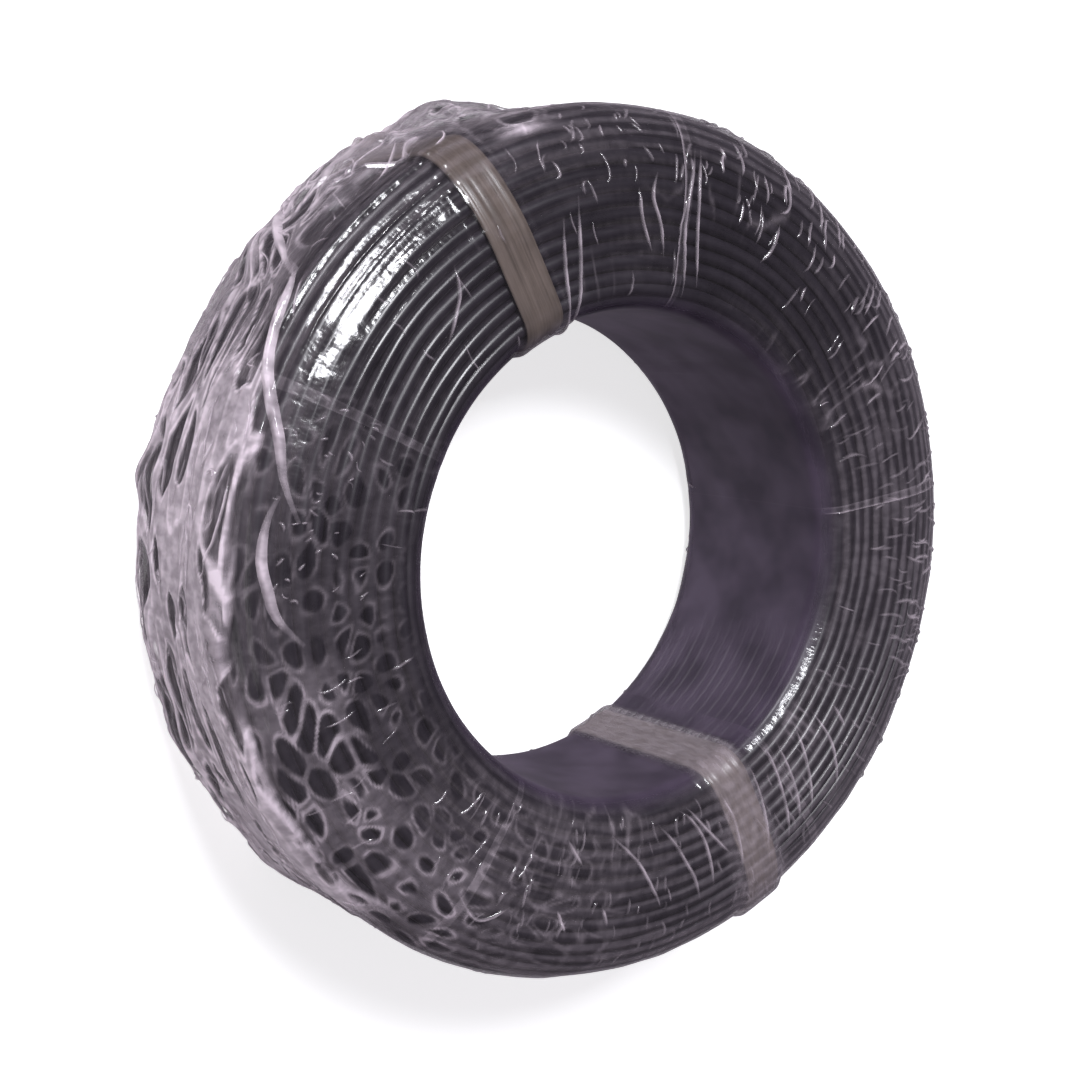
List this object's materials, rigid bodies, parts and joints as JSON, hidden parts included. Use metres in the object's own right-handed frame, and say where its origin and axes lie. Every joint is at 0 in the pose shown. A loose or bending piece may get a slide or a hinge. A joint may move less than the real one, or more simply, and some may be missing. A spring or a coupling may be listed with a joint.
{
  "type": "single-core cable coil",
  "caption": "Ring of insulated single-core cable, held by plastic straps and wrapped in clear stretch film, lying on its end.",
  "frame": {"origin": "bottom centre of the ring's bounding box, on the ring's axis and on the floor that its back end lies on", "axes": "+Z along the ring's axis, from its back end up to its front end, which the picture shows; +X to the right and +Y up as the picture shows the front end"},
  "size_m": [0.2226, 0.2222, 0.0666],
  "materials": {
    "cable_insulation": "satin black PVC insulation",
    "strap_plastic": "thin translucent tan plastic strap with lengthwise creases",
    "clear_film": "clear glossy stretch film, milky where folds lie on each other"
  },
  "bodies": {
    "root": {"cable_coil": "cable_insulation", "strap_left": "strap_plastic", "strap_right": "strap_plastic", "stretch_film": "clear_film"}
  },
  "joints": []
}
